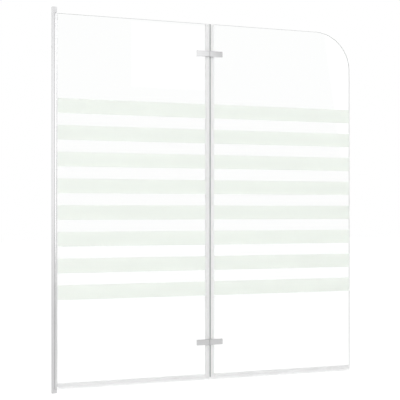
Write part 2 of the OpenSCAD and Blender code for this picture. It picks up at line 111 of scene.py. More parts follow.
def fill(node: Node, values: dict[str, object]) -> None:
    """Sets constants on a node's inputs, named with _ for a space."""
    for label, value in values.items():
        node.inputs[label.replace("_", " ")].default_value = value


class Graph:
    """A node tree under construction."""

    def __init__(self, tree: Tree) -> None:
        """Takes a tree and empties it."""
        self.tree = tree
        self.tree.nodes.clear()

    def node(self, kind: str, **values: object) -> Node:
        """Adds a node.

        Args:
            kind: Its type.
            values: The constants on its inputs, named with _ for a space.

        Returns:
            The node.
        """
        node = self.tree.nodes.new(kind)
        fill(node, values)
        return node

    def link(self, source: Socket, target: Socket) -> None:
        """Joins two sockets."""
        self.tree.links.new(source, target)

    def maths(self, operation: str, *terms: Socket | float) -> Socket:
        """Adds a math node.

        Args:
            operation: What it does.
            terms: Its inputs in order, as sockets or constants.

        Returns:
            Its result.
        """
        node = self.node("ShaderNodeMath")
        node.operation = operation
        for place, term in zip(node.inputs, terms):
            if isinstance(term, float):
                place.default_value = term
            else:
                self.link(term, place)
        return node.outputs[0]

    def spread(self, value: Socket, kind: str = "LINEAR", **limits: float) -> Socket:
        """Maps a value from one range to another.

        Args:
            value: The value.
            kind: The way between the limits.
            limits: From_Min, From_Max, To_Min and To_Max, where they aren't 0 and 1.

        Returns:
            The mapped value.
        """
        node = self.node("ShaderNodeMapRange", **limits)
        node.interpolation_type = kind
        self.link(value, node.inputs["Value"])
        return node.outputs["Result"]


class EffectLibrary:
    """The effects that several materials share. Each is built once, the first time it is asked for."""

    @staticmethod
    def _open(
        name: str, inputs: dict[str, tuple[str, object]], outputs: tuple[str, ...]
    ) -> tuple[Graph, Node, Node]:
        """Makes an empty node group with its sockets.

        Args:
            name: The group's name.
            inputs: Socket type and default value of each input, apart from Vector.
            outputs: The names of its outputs, each a single value.

        Returns:
            The group, its input node and its output node.
        """
        tree = bpy.data.node_groups.new(name, "ShaderNodeTree")
        tree.interface.new_socket(name="Vector", in_out="INPUT", socket_type="NodeSocketVector")
        for label, (kind, value) in inputs.items():
            tree.interface.new_socket(name=label, in_out="INPUT", socket_type=kind).default_value = value
        for label in outputs:
            tree.interface.new_socket(name=label, in_out="OUTPUT", socket_type="NodeSocketFloat")
        graph = Graph(tree)
        return graph, graph.node("NodeGroupInput"), graph.node("NodeGroupOutput")

    @cached_property
    def grain(self) -> Tree:
        """Lines drawn along one direction, as on extruded or brushed metal.

        Returns:
            A group whose Stretch input scales each axis, with the outputs Tone and Height.
        """
        stretch = {"Stretch": ("NodeSocketVector", (1.0, 1.0, 1.0))}
        graph, entry, leave = self._open("drawn_grain", stretch, ("Tone", "Height"))
        scaled = graph.node("ShaderNodeVectorMath")
        scaled.operation = "MULTIPLY"
        graph.link(entry.outputs["Vector"], scaled.inputs[0])
        graph.link(entry.outputs["Stretch"], scaled.inputs[1])
        fine = graph.node("ShaderNodeTexNoise", Scale=1.0, Detail=4.0, Roughness=0.62)
        graph.link(scaled.outputs[0], fine.inputs["Vector"])
        tone = graph.spread(fine.outputs["Fac"], From_Min=0.32, From_Max=0.68)
        graph.link(tone, leave.inputs["Tone"])
        graph.link(fine.outputs["Fac"], leave.inputs["Height"])
        return graph.tree

    @cached_property
    def cloud(self) -> Tree:
        """Slow, soft variation over a surface.

        Returns:
            A group with the inputs Vector and Scale and the output Mask.
        """
        graph, entry, leave = self._open("soft_cloud", {"Scale": ("NodeSocketFloat", 6.0)}, ("Mask",))
        noise = graph.node("ShaderNodeTexNoise", Detail=2.0, Roughness=0.45)
        for label in ("Vector", "Scale"):
            graph.link(entry.outputs[label], noise.inputs[label])
        mask = graph.spread(noise.outputs["Fac"], "SMOOTHSTEP", From_Min=0.3, From_Max=0.7)
        graph.link(mask, leave.inputs["Mask"])
        return graph.tree

    @cached_property
    def speckle(self) -> Tree:
        """Fine round grain, as on etched glass, moulded nylon and rubber.

        Returns:
            A group with the inputs Vector and Scale and the outputs Tone and Height.
        """
        scale = {"Scale": ("NodeSocketFloat", 900.0)}
        graph, entry, leave = self._open("fine_speckle", scale, ("Tone", "Height"))
        cells = graph.node("ShaderNodeTexVoronoi")
        cells.feature = "SMOOTH_F1"
        noise = graph.node("ShaderNodeTexNoise", Detail=3.0)
        for texture in (cells, noise):
            for label in ("Vector", "Scale"):
                graph.link(entry.outputs[label], texture.inputs[label])
        height = graph.maths("MULTIPLY_ADD", cells.outputs["Distance"], 0.5, noise.outputs["Fac"])
        graph.link(noise.outputs["Fac"], leave.inputs["Tone"])
        graph.link(height, leave.inputs["Height"])
        return graph.tree


EFFECTS = EffectLibrary()


class Shade(Graph):
    """One material under construction: its shader and the shared effects placed in it."""

    def __init__(self, name: str) -> None:
        """Makes a material with one shader.

        Args:
            name: The material's name.
        """
        self.material = bpy.data.materials.new(name)
        self.material.use_nodes = True
        super().__init__(self.material.node_tree)
        output = self.node("ShaderNodeOutputMaterial")
        self.shader = self.node("ShaderNodeBsdfPrincipled")
        self.link(self.shader.outputs["BSDF"], output.inputs["Surface"])
        self.place = self.node("ShaderNodeTexCoord").outputs["Object"]

    def plain(self, **values: float) -> None:
        """Sets constants on the shader's sockets, named with _ for a space."""
        fill(self.shader, values)

    def effect(self, group: Tree, **values: object) -> Node:
        """Places a shared effect on the surface's own coordinates.

        Args:
            group: The effect.
            values: The effect's inputs.

        Returns:
            The group's node.
        """
        node = self.node("ShaderNodeGroup")
        node.node_tree = group
        self.link(self.place, node.inputs["Vector"])
        fill(node, values)
        return node

    def tint(self, mask: Socket, low: Colour, high: Colour) -> None:
        """Drives the base colour by a mask.

        Args:
            mask: The mask.
            low: The colour where the mask is 0.
            high: The colour where the mask is 1.
        """
        mix = self.node("ShaderNodeMix")
        mix.data_type = "RGBA"
        mix.inputs["A"].default_value = (*low, 1.0)
        mix.inputs["B"].default_value = (*high, 1.0)
        self.link(mask, mix.inputs["Factor"])
        self.link(mix.outputs["Result"], self.shader.inputs["Base Color"])

    def roughen(self, mask: Socket, low: float, high: float) -> None:
        """Drives the roughness by a mask.

        Args:
            mask: The mask.
            low: The roughness where the mask is 0.
            high: The roughness where the mask is 1.
        """
        self.link(self.spread(mask, To_Min=low, To_Max=high), self.shader.inputs["Roughness"])

    def bump(self, height: Socket, strength: float, depth: float) -> None:
        """Adds relief.

        Args:
            height: The relief.
            strength: How strongly it shows, up to 1.
            depth: Its depth in metres.
        """
        bump = self.node("ShaderNodeBump", Strength=strength, Distance=depth)
        self.link(height, bump.inputs["Height"])
        self.link(bump.outputs["Normal"], self.shader.inputs["Normal"])

    def cover(
        self,
        texture: Node,
        cloud_scale: float,
        tones: tuple[Colour, Colour],
        gloss: Pair,
        relief: Pair,
    ) -> None:
        """Adds slow clouds of tone, and a fine texture to the gloss and the relief.

        Args:
            texture: The placed effect, with the outputs Tone and Height.
            cloud_scale: How fast the clouds change.
            tones: The colours where a cloud is 0 and 1.
            gloss: The roughness where the texture's tone is 0 and 1.
            relief: How strongly the texture's height shows, and its depth.
        """
        cloud = self.effect(EFFECTS.cloud, Scale=cloud_scale)
        self.tint(cloud.outputs["Mask"], *tones)
        self.roughen(texture.outputs["Tone"], *gloss)
        self.bump(texture.outputs["Height"], *relief)


# ---- Finishes ----


def swing(value: float, share: float) -> Pair:
    """A value less a share of it, and plus that share."""
    return value * (1 - share), value * (1 + share)


@dataclass(frozen=True)
class Finish(ABC):
    """A surface finish that becomes one material."""

    name: str
    colour: Colour

    def material(self) -> bpy.types.Material:
        """Makes the finish's material.

        Returns:
            The material.
        """
        shade = Shade(self.name)
        self.paint(shade)
        return shade.material

    @abstractmethod
    def paint(self, shade: Shade) -> None:
        """Sets the shader's constants and places the effects."""

    def toned(self, factor: float) -> Colour:
        """The colour with each channel times a factor."""
        return tuple(channel * factor for channel in self.colour)


@dataclass(frozen=True)
class SatinMetal(Finish):
    """Metal with lines drawn along one direction and a slow change of tone."""

    roughness: float = 0.3
    stretch: Triple = (1.0, 1.0, 1.0)
    contrast: float = 0.05
    line_share: float = 0.6
    cloud_scale: float = 5.0
    gloss_swing: float = 0.15
    relief: Pair = (0.35, 0.01 * MM)

    def paint(self, shade: Shade) -> None:
        """Sets the metal's constants and places its effects.

        Args:
            shade: The finish's material.
        """
        shade.plain(Metallic=1.0, Specular_IOR_Level=0.5)
        lines = shade.effect(EFFECTS.grain, Stretch=self.stretch)
        cloud = shade.effect(EFFECTS.cloud, Scale=self.cloud_scale)
        slow = shade.maths("MULTIPLY", cloud.outputs["Mask"], 1 - self.line_share)
        mask = shade.maths("MULTIPLY_ADD", lines.outputs["Tone"], self.line_share, slow)
        shade.tint(mask, self.toned(1 - self.contrast), self.toned(1 + self.contrast))
        shade.roughen(lines.outputs["Tone"], *swing(self.roughness, self.gloss_swing))
        shade.bump(lines.outputs["Height"], *self.relief)


@dataclass(frozen=True)
class ClearGlass(Finish):
    """Toughened clear glass, polished and almost without colour, with a trace of film on it."""

    ior: float = 1.5
    film_scale: float = 3.0
    film_tone: float = 0.998
    film_haze: float = 0.004

    def paint(self, shade: Shade) -> None:
        """Sets the glass's constants and places its film.

        Args:
            shade: The finish's material.
        """
        shade.plain(Metallic=0.0, Transmission_Weight=1.0, IOR=self.ior)
        film = shade.effect(EFFECTS.cloud, Scale=self.film_scale)
        shade.tint(film.outputs["Mask"], self.toned(self.film_tone), self.colour)
        shade.roughen(film.outputs["Mask"], 0.0, self.film_haze)


@dataclass(frozen=True)
class GroundGlass(Finish):
    """Glass with a ground or etched surface, which scatters what is behind it."""

    transmission: float
    ior: float
    specular: float
    grain_scale: float
    cloud_scale: float
    cloud_tone: float
    gloss: Pair
    relief: Pair

    def paint(self, shade: Shade) -> None:
        """Sets the surface's constants and places its effects.

        Args:
            shade: The finish's material.
        """
        shade.plain(Metallic=0.0, Transmission_Weight=self.transmission, IOR=self.ior)
        shade.plain(Specular_IOR_Level=self.specular)
        grain = shade.effect(EFFECTS.speckle, Scale=self.grain_scale)
        tones = (self.toned(self.cloud_tone), self.colour)
        shade.cover(grain, self.cloud_scale, tones, self.gloss, self.relief)


@dataclass(frozen=True)
class ClearSeal(Finish):
    """Extruded clear soft plastic with faint draw lines along it."""

    stretch: Triple = (1.0, 1.0, 1.0)
    transmission: float = 0.5
    ior: float = 1.15
    roughness: float = 0.28
    cloud_scale: float = 9.0
    cloud_tone: float = 0.985
    gloss_swing: float = 0.04
    relief: Pair = (0.08, 0.003 * MM)

    def paint(self, shade: Shade) -> None:
        """Sets the plastic's constants and places its effects.

        Args:
            shade: The finish's material.
        """
        shade.plain(Metallic=0.0, Transmission_Weight=self.transmission, IOR=self.ior)
        lines = shade.effect(EFFECTS.grain, Stretch=self.stretch)
        tones = (self.toned(self.cloud_tone), self.colour)
        gloss = swing(self.roughness, self.gloss_swing)
        shade.cover(lines, self.cloud_scale, tones, gloss, self.relief)


@dataclass(frozen=True)
class Moulded(Finish):
    """Opaque moulded plastic or rubber with a fine grain."""

    roughness: float = 0.5
    grain_scale: float = 1200.0
    cloud_scale: float = 30.0
    contrast: float = 0.04
    specular: float = 0.4
    gloss_factors: Pair = (0.85, 1.1)
    relief: Pair = (0.3, 0.02 * MM)

    def paint(self, shade: Shade) -> None:
        """Sets the moulding's constants and places its effects.

        Args:
            shade: The finish's material.
        """
        shade.plain(Metallic=0.0, Specular_IOR_Level=self.specular)
        grain = shade.effect(EFFECTS.speckle, Scale=self.grain_scale)
        tones = (self.toned(1 - self.contrast), self.toned(1 + self.contrast))
        low, high = self.gloss_factors
        gloss = (self.roughness * low, self.roughness * high)
        shade.cover(grain, self.cloud_scale, tones, gloss, self.relief)


ALONG_Z = (2600.0, 2600.0, 9.0)
ALONG_X = (14.0, 2600.0, 2600.0)
CAST = (900.0, 900.0, 900.0)
TURNED = (700.0, 700.0, 700.0)


@dataclass
class FinishSet:
    """Every finish of the screen, made once."""

    profile: Finish = SatinMetal("anodised_profile", (0.54, 0.54, 0.545), 0.34, ALONG_Z, 0.03)
    post: Finish = SatinMetal("bright_post", (0.62, 0.62, 0.625), 0.18, ALONG_Z, 0.03)
    bracket: Finish = SatinMetal("satin_bracket", (0.56, 0.56, 0.565), 0.32, CAST, 0.03)
    leaf: Finish = SatinMetal("brushed_leaf", (0.56, 0.56, 0.565), 0.11, ALONG_X, 0.04)
    steel: Finish = SatinMetal("bright_steel", (0.56, 0.555, 0.55), 0.22, TURNED, 0.05)
    glass: Finish = ClearGlass("clear_pane", (0.985, 0.991, 0.988))
    edge: Finish = GroundGlass(
        "pane_edge",
        (0.25, 0.30, 0.28),
        transmission=0.12,
        ior=1.5,
        specular=0.5,
        grain_scale=1500.0,
        cloud_scale=14.0,
        cloud_tone=0.94,
        gloss=(0.2, 0.45),
        relief=(0.2, 0.01 * MM),
    )
    frost: Finish = GroundGlass(
        "frosted_band",
        (0.937, 0.969, 0.927),
        transmission=0.6,
        ior=1.35,
        specular=0.3,
        grain_scale=1400.0,
        cloud_scale=7.0,
        cloud_tone=0.99,
        gloss=(0.55, 0.75),
        relief=(0.15, 0.01 * MM),
    )
    seal_up: Finish = ClearSeal("clear_seal_upright", (0.996, 0.998, 0.997), ALONG_Z)
    seal_along: Finish = ClearSeal("clear_seal_level", (0.993, 0.995, 0.995), ALONG_X)
    gasket: Finish = Moulded("pale_gasket", (0.80, 0.81, 0.81), 0.5)
    bulb: Finish = Moulded("grey_bulb", (0.39, 0.40, 0.40), 0.55)
    pad: Finish = Moulded("dark_pad", (0.05, 0.05, 0.052), 0.7)
    nylon: Finish = Moulded("white_nylon", (0.84, 0.84, 0.82), 0.38)
    _made: dict[str, bpy.types.Material] = field(default_factory=dict)

    def of(self, finish: Finish) -> bpy.types.Material:
        """Looks up a finish's material, which is made the first time it is asked for.

        Args:
            finish: The finish.

        Returns:
            The material.
        """
        if finish.name not in self._made:
            self._made[finish.name] = finish.material()
        return self._made[finish.name]


# ---- Mesh tools ----


def arc(centre: Point, radius: float, start: float, end: float, steps: int) -> list[Point]:
    """Points along an arc.

    Args:
        centre: The arc's centre.
        radius: Its radius.
        start: The angle of the first point, in degrees.
        end: The angle of the last point, in degrees.
        steps: The number of chords.

    Returns:
        The points, both ends included.
    """
    angles = [math.radians(start + (end - start) * i / steps) for i in range(steps + 1)]
    return [(centre[0] + radius * math.cos(a), centre[1] + radius * math.sin(a)) for a in angles]


def in_plane(axis: Axis, level: float, a: float, b: float) -> Vector:
    """A point of a section square to an axis, at a level along it."""
    return Vector({Axis.X: (level, a, b), Axis.Y: (a, level, b), Axis.Z: (a, b, level)}[axis])


def rise(edge: bmesh.types.BMEdge) -> float:
    """How far an edge climbs along z."""
    return abs(edge.verts[0].co.z - edge.verts[1].co.z)


def prism(
    outline: list[Point], axis: Axis, low: float, high: float, holes: tuple[list[Point], ...] = ()
) -> Mesh:
    """A section drawn out along an axis.

    Args:
        outline: The section's outline, in the plane square to the axis.
        axis: The axis.
        low: Where the prism starts along the axis.
        high: Where it ends.
        holes: Outlines of the openings through it.

    Returns:
        The closed mesh.
    """
    bm = bmesh.new()
    edges = []
    for loop in (outline, *holes):
        corners = [bm.verts.new(in_plane(axis, low, a, b)) for a, b in loop]
        edges += [bm.edges.new(pair) for pair in zip(corners, corners[1:] + corners[:1])]
    square = Vector(axis.value)
    bmesh.ops.triangle_fill(bm, use_beauty=True, use_dissolve=False, edges=edges, normal=square)
    bmesh.ops.dissolve_limit(bm, angle_limit=FLAT, verts=bm.verts, edges=bm.edges)
    grown = bmesh.ops.extrude_face_region(bm, geom=list(bm.faces), use_keep_orig=True)
    moved = [item for item in grown["geom"] if isinstance(item, bmesh.types.BMVert)]
    bmesh.ops.translate(bm, verts=moved, vec=square * (high - low))
    bmesh.ops.recalc_face_normals(bm, faces=bm.faces)
    return bm


def turned(profile: list[Point], steps: int) -> Mesh:
    """A profile of (radius, height) points spun once about the z axis.

    Args:
        profile: The points, from the axis at the bottom to the axis at the top.
        steps: The number of faces round it.

    Returns:
        The closed mesh.
    """
    bm = bmesh.new()
    corners = [bm.verts.new((radius, 0.0, height)) for radius, height in profile]
    edges = [bm.edges.new(pair) for pair in zip(corners, corners[1:])]
    bmesh.ops.spin(
        bm,
        geom=corners + edges,
        cent=(0, 0, 0),
        axis=Axis.Z.value,
        angle=math.tau,
        steps=steps,
        use_merge=True,
    )
    bmesh.ops.remove_doubles(bm, verts=bm.verts, dist=WELD)
    bmesh.ops.recalc_face_normals(bm, faces=bm.faces)
    return bm


def merged_copy(node: str) -> Mesh:
    """Copies a CAD node's mesh and merges its loose triangles into flat faces.

    Args:
        node: The CAD node.

    Returns:
        The copy.
    """
    bm = bmesh.new()
    bm.from_mesh(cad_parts[node].data)
    bmesh.ops.remove_doubles(bm, verts=bm.verts, dist=WELD)
    bmesh.ops.dissolve_limit(bm, angle_limit=CAD_FLAT, verts=bm.verts, edges=bm.edges)
    return bm


def round_edges(
    bm: Mesh, edges: list[bmesh.types.BMEdge], width: float, segments: int, clamp: bool = True
) -> None:
    """Rounds some edges of a mesh.

    Args:
        bm: The mesh.
        edges: The edges.
        width: The width of the rounding on each face.
        segments: The number of faces across it.
        clamp: Whether the width shrinks where roundings would meet.
    """
    bmesh.ops.bevel(
        bm,
        geom=edges,
        offset=width,
        affect="EDGES",
        segments=segments,
        profile=0.5,
        material=-1,
        clamp_overlap=clamp,
    )


def soften(bm: Mesh, width: float, segments: int = 2, sharper: float = 40.0, clamp: bool = True) -> Mesh:
    """Rounds the edges of a mesh.

    Args:
        bm: The mesh.
        width: The width of the rounding.
        segments: The number of faces across it.
        sharper: The least angle between an edge's faces, in degrees.
        clamp: Whether the width shrinks where roundings would meet.

    Returns:
        The same mesh.
    """
    limit = math.radians(sharper)
    bm.normal_update()
    edges = [edge for edge in bm.edges if edge.is_manifold and edge.calc_face_angle(0.0) > limit]
    round_edges(bm, edges, width, segments, clamp)
    return bm


def joined(parts: list[Mesh]) -> Mesh:
    """Puts several meshes into one.

    Args:
        parts: The meshes, which are freed.

    Returns:
        The one mesh.
    """
    whole = bmesh.new()
    for part in parts:
        data = bpy.data.meshes.new("part")
        part.to_mesh(data)
        part.free()
        whole.from_mesh(data)
        bpy.data.meshes.remove(data)
    return whole


def as_object(bm: Mesh, name: str) -> bpy.types.Object:
    """Turns a mesh into an object at the origin.

    Args:
        bm: The mesh, which is freed.
        name: The object's name.

    Returns:
        The object, linked to the scene.
    """
    data = bpy.data.meshes.new(name)
    bm.to_mesh(data)
    bm.free()
    data.polygons.foreach_set("use_smooth", [True] * len(data.polygons))
    data.set_sharp_from_angle(angle=SHARP)
    piece = bpy.data.objects.new(name, data)
    bpy.context.scene.collection.objects.link(piece)
    weigh = piece.modifiers.new("flat_faces", "WEIGHTED_NORMAL")
    weigh.keep_sharp = True
    return piece


def box_of(node: str) -> tuple[Vector, Vector]:
    """The corners of a CAD node at rest."""
    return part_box(node)


# ---- Sub-assemblies ----


@dataclass
class SubAssembly(ABC):
    """Pieces that are built and dressed together."""

    finishes: FinishSet
    pieces: dict[str, bpy.types.Object] = field(default_factory=dict, init=False)

    @abstractmethod
    def build(self) -> None:
        """Models the pieces."""

    @abstractmethod
    def dress(self) -> None:
        """Gives each piece its finish."""

    def add(self, bm: Mesh, name: str, body: Body, slot: Slot, *nodes: str) -> bpy.types.Object:
        """Makes a piece of a mesh and seats it in the frame.

        Args:
            bm: The mesh, which is freed.
            name: The piece's name.
            body: The body that it rides on.
            slot: The record's slot; not used.
            nodes: The CAD nodes that it stands for.

        Returns:
            The piece.
        """
        piece = as_object(bm, name)
        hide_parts(*nodes)
        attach(piece, body.value)
        self.pieces[name] = piece
        LOG.info("built %s: %d faces, on %s", name, len(piece.data.polygons), body.value)
        return piece

    def rounded(self, node: str, name: str, body: Body, slot: Slot, width: float) -> bpy.types.Object:
        """Makes a piece of a CAD node's own mesh, with its edges rounded.

        Args:
            node: The CAD node, which the piece stands for.
            name: The piece's name.
            body: The body that it rides on.
            slot: The record's slot, passed on to add, which doesn't use it.
            width: The width of the rounding.

        Returns:
            The piece.
        """
        return self.add(soften(merged_copy(node), width), name, body, slot, node)

    def wear(self, name: str, *finishes: Finish) -> None:
        """Gives a piece its materials, in the order of its faces' indices."""
        for finish in finishes:
            self.pieces[name].data.materials.append(self.finishes.of(finish))

    def wear_by_ending(self, **finishes: Finish) -> None:
        """Gives every piece the finish that goes with the last word of its name."""
        for name in self.pieces:
            self.wear(name, finishes[name.rsplit("_", 1)[1]])


@dataclass
class WallFrame(SubAssembly):
    """The wall channel with its two brackets, their bushes and screws."""

    channel_round: float = 0.3 * MM
    arm_end_round: float = 0.3 * MM
    arm_end_segments: int = 5
    bracket_round: float = 0.5 * MM
    bush_round: float = 0.15 * MM
    screw_round: float = 0.12 * MM

    def build(self) -> None:
        """Models the channel, the brackets, their bushes and their screws, with rounded edges."""
        self.add(self._channel(), "channel_profile", Body.WALL, Slot.PROFILE, "wall_channel")
        for end in ("head", "foot"):
            casting = f"{end}_bracket_casting"
            self.rounded(f"{end}_bracket", casting, Body.WALL, Slot.BRACKET, self.bracket_round)
            self.rounded(f"{end}_bush", f"{end}_bush_ring", Body.WALL, Slot.NYLON, self.bush_round)
        self.rounded("bracket_screws", "channel_screws", Body.WALL, Slot.FASTENER, self.screw_round)

    def _channel(self) -> Mesh:
        """The wall channel, with the ends of its arms drawn round.

        Returns:
            The closed mesh.
        """
        bm = merged_copy("wall_channel")
        reach = box_of("wall_channel")[1].x
        ends = [edge for edge in bm.edges if all(abs(v.co.x - reach) < TOUCH for v in edge.verts)]
        upright = [edge for edge in ends if rise(edge) > self.arm_end_round]
        round_edges(bm, upright, self.arm_end_round, self.arm_end_segments)
        return soften(bm, self.channel_round)

    def dress(self) -> None:
        """Finishes the wall frame."""
        own = self.finishes
        self.wear_by_ending(profile=own.profile, casting=own.bracket, ring=own.nylon, screws=own.steel)


@dataclass
class PivotPost(SubAssembly):
    """The slotted tube that grips the inner pane, with its plugs, pins and gaskets."""

    tube_wall: float = 1.5 * MM
    lip_round: float = 0.2 * MM
    tube_steps: int = 60
    gasket_round: float = 0.2 * MM
    plug_round: float = 0.3 * MM
    pin_round: float = 0.2 * MM
    screw_round: float = 0.12 * MM

    def build(self) -> None:
        """Models the tube, the gaskets, the plugs, their pins and their screws."""
        self.add(self._tube(), "pivot_post", Body.INNER, Slot.PROFILE, "pivot_tube")
        self.rounded("glazing_gaskets", "glazing_strips", Body.INNER, Slot.GASKET, self.gasket_round)
        for end in ("head", "foot"):
            self.rounded(f"{end}_plug", f"{end}_tube_plug", Body.INNER, Slot.BRACKET, self.plug_round)
            self.rounded(f"{end}_pivot_pin", f"{end}_pin", Body.INNER, Slot.FASTENER, self.pin_round)
        self.rounded("plug_screws", "tube_screws", Body.INNER, Slot.FASTENER, self.screw_round)

    def _tube(self) -> Mesh:
        """The tube as a ring section with a slot, drawn out along z.

        Returns:
            The closed mesh.
        """
        low, high = box_of("pivot_tube")
        outer = (high.y - low.y) / 2
        inner = outer - self.tube_wall
        centre = (low.x + outer, 0.0)
        slot_half = math.sqrt(outer**2 - (high.x - centre[0]) ** 2)
        open_out = math.degrees(math.asin(slot_half / outer))
        open_in = math.degrees(math.asin(slot_half / inner))
        outline = arc(centre, outer, open_out, 360 - open_out, self.tube_steps)
        outline += arc(centre, inner, 360 - open_in, open_in, self.tube_steps)
        return soften(prism(outline, Axis.Z, low.z, high.z), self.lip_round)

    def dress(self) -> None:
        """Finishes the post."""
        own = self.finishes
        self.wear_by_ending(
            post=own.post, strips=own.gasket, plug=own.bracket, pin=own.steel, screws=own.steel
        )


@dataclass
class Panel(SubAssembly, ABC):
    """One pane with its frosted bands and its seals."""

    name: str = ""
    body: Body = Body.INNER
    side: int = -1  # of the fold: -1 towards the wall, 1 towards the free edge
    arris: float = 0.2 * MM
    hole_radius: float = 6 * MM
    hole_steps: int = 32
    band_round: float = 0.08 * MM
    seal_skin: float = 0.03 * MM
    seal_wall: float = 1.0 * MM
    seal_web: float = 1.2 * MM
    seal_round: float = 0.12 * MM
    blade_tip: float = 0.5 * MM
    groove: float = 0.22 * MM  # depth of the groove along a fold seal, four times as wide
    groove_at: float = 0.3  # shares of the fold seal's leg where its groove and its taper start
    taper_at: float = 0.86

    @abstractmethod
    def pane_outline(self) -> list[Point]:
        """The outline of the pane, in x and z."""

    def hole_outlines(self) -> tuple[list[Point], ...]:
        """Draws the pane's clamp holes.

        Returns:
            The outline of each, centred on its sleeve.
        """
        sleeves = merged_copy(f"{self.name}_hinge_sleeves")
        centres = self._island_centres(sleeves)
        sleeves.free()
        return tuple(arc(c, self.hole_radius, 0, 360, self.hole_steps)[:-1] for c in centres)

    @staticmethod
    def _island_centres(bm: Mesh) -> list[Point]:
        """Finds the middles of a mesh's separate islands.

        Args:
            bm: The mesh.

        Returns:
            The x and z of each, in order.
        """
        left = set(bm.verts)
        centres = []
        while left:
            island, front = set(), [left.pop()]
            while front:
                vert = front.pop()
                island.add(vert)
                near = {edge.other_vert(vert) for edge in vert.link_edges} & left
                left -= near
                front += near
            xs, zs = [v.co.x for v in island], [v.co.z for v in island]
            centres.append(((min(xs) + max(xs)) / 2, (min(zs) + max(zs)) / 2))
        return sorted(centres)

    def build(self) -> None:
        """Models the pane, the bands and the seals."""
        low, high = box_of(f"{self.name}_glass")
        pane = prism(self.pane_outline(), Axis.Y, low.y, high.y, self.hole_outlines())
        soften(pane, self.arris, sharper=60.0, clamp=False)
        pane.normal_update()
        for face in pane.faces:
            face.material_index = int(abs(face.normal.y) < FACING)
        self.add(pane, f"{self.name}_pane", self.body, Slot.GLASS, f"{self.name}_glass")
        self.rounded(f"{self.name}_bands", f"{self.name}_frosting", self.body, Slot.FROST, self.band_round)
        self.add(self._clip(), f"{self.name}_fold_clip", self.body, Slot.SEAL, f"{self.name}_fold_seal")
        self.add(self._sweep(), f"{self.name}_sweep", self.body, Slot.SEAL, f"{self.name}_bottom_seal")

    def _clip(self) -> Mesh:
        """The channel-shaped seal on the pane's fold edge, in its three stretches between the hinges.

        Returns:
            The closed mesh.
        """
        low, high = box_of(f"{self.name}_fold_seal")
        glass_low, glass_high = box_of(f"{self.name}_glass")
        edge = glass_high.x if self.side < 0 else glass_low.x
        web = high.x if self.side < 0 else low.x
        leg_end = low.x if self.side < 0 else high.x
        out, lip = -self.side, self.side
        skin = glass_high.y + self.seal_skin
        half, groove = high.y, self.groove
        leg = leg_end - edge
        start = edge + leg * self.groove_at
        upper = [
            (web, half),
            (start, half),
            (start + lip * groove, half - groove),
            (start + lip * 3 * groove, half - groove),
            (start + lip * 4 * groove, half),
            (edge + leg * self.taper_at, half),
            (leg_end, half - 2 * groove),
            (leg_end, skin),
            (edge + out * self.seal_skin, skin),
        ]
        outline = upper + [(x, -y) for x, y in reversed(upper)]
        stretches = self._seal_stretches(low.z, high.z)
        return joined([soften(prism(outline, Axis.Z, a, b), self.seal_round) for a, b in stretches])

    def _sweep(self) -> Mesh:
        """The bottom seal: two blades under a web, with two legs that grip the glass.

        Returns:
            The closed mesh.
        """
        low, high = box_of(f"{self.name}_bottom_seal")
        clip_low, clip_high = box_of(f"{self.name}_fold_seal")
        pane_low, pane_high = box_of(f"{self.name}_glass")
        half, top = high.y, pane_low.z - self.seal_skin
        under = pane_low.z - self.seal_web
        skin = pane_high.y + self.seal_skin
        root = half - self.seal_wall
        tip = half - self.blade_tip
        blade = [(half, low.z), (tip, low.z), (root, under)]
        outline = [(half, top), *blade, *[(-y, z) for y, z in reversed(blade)], (-half, top)]
        bm = prism(outline, Axis.X, low.x, high.x)
        leg_end = clip_low.x - SEAL_GAP if self.side < 0 else clip_high.x + SEAL_GAP
        cuts = [((leg_end, 0, 0), (1, 0, 0)), ((0, skin, 0), (0, 1, 0)), ((0, -skin, 0), (0, 1, 0))]
        for place, square in cuts:
            whole = [*bm.verts, *bm.edges, *bm.faces]
            bmesh.ops.bisect_plane(bm, geom=whole, plane_co=place, plane_no=square)
        bm.normal_update()
        rims = []  # the faces of the web's top that carry the legs
        for face in bm.faces:
            middle = face.calc_center_median()
            on_top = abs(middle.z - top) < TOUCH and face.normal.z > FACING
            beside_seal = (leg_end - middle.x) * -self.side > 0
            if on_top and beside_seal and abs(middle.y) > skin:
                rims.append(face)
        grown = bmesh.ops.extrude_face_region(bm, geom=rims)
        bmesh.ops.delete(bm, geom=rims, context="FACES_ONLY")
        raised = [item for item in grown["geom"] if isinstance(item, bmesh.types.BMVert)]
        bmesh.ops.translate(bm, verts=raised, vec=(0.0, 0.0, high.z - top))
        bmesh.ops.recalc_face_normals(bm, faces=bm.faces)
        bmesh.ops.dissolve_limit(bm, angle_limit=FLAT, verts=bm.verts, edges=bm.edges)
        return soften(bm, self.seal_round)

    def _seal_stretches(self, low: float, high: float) -> list[Point]:
        """Splits a fold seal at the hinges.

        Args:
            low: Where the seal starts.
            high: Where it ends.

        Returns:
            The low and high level of each stretch.
        """
        lower_low, lower_high = box_of("lower_hinge_inner_front")
        upper_low, upper_high = box_of("upper_hinge_inner_front")
        return [
            (low, lower_low.z - SEAL_GAP),
            (lower_high.z + SEAL_GAP, upper_low.z - SEAL_GAP),
            (upper_high.z + SEAL_GAP, high),
        ]

    def dress(self) -> None:
        """Finishes the panel."""
        self.wear(f"{self.name}_pane", self.finishes.glass, self.finishes.edge)
        self.wear(f"{self.name}_frosting", self.finishes.frost)
        self.wear(f"{self.name}_fold_clip", self.finishes.seal_up)
        self.wear(f"{self.name}_sweep", self.finishes.seal_along)


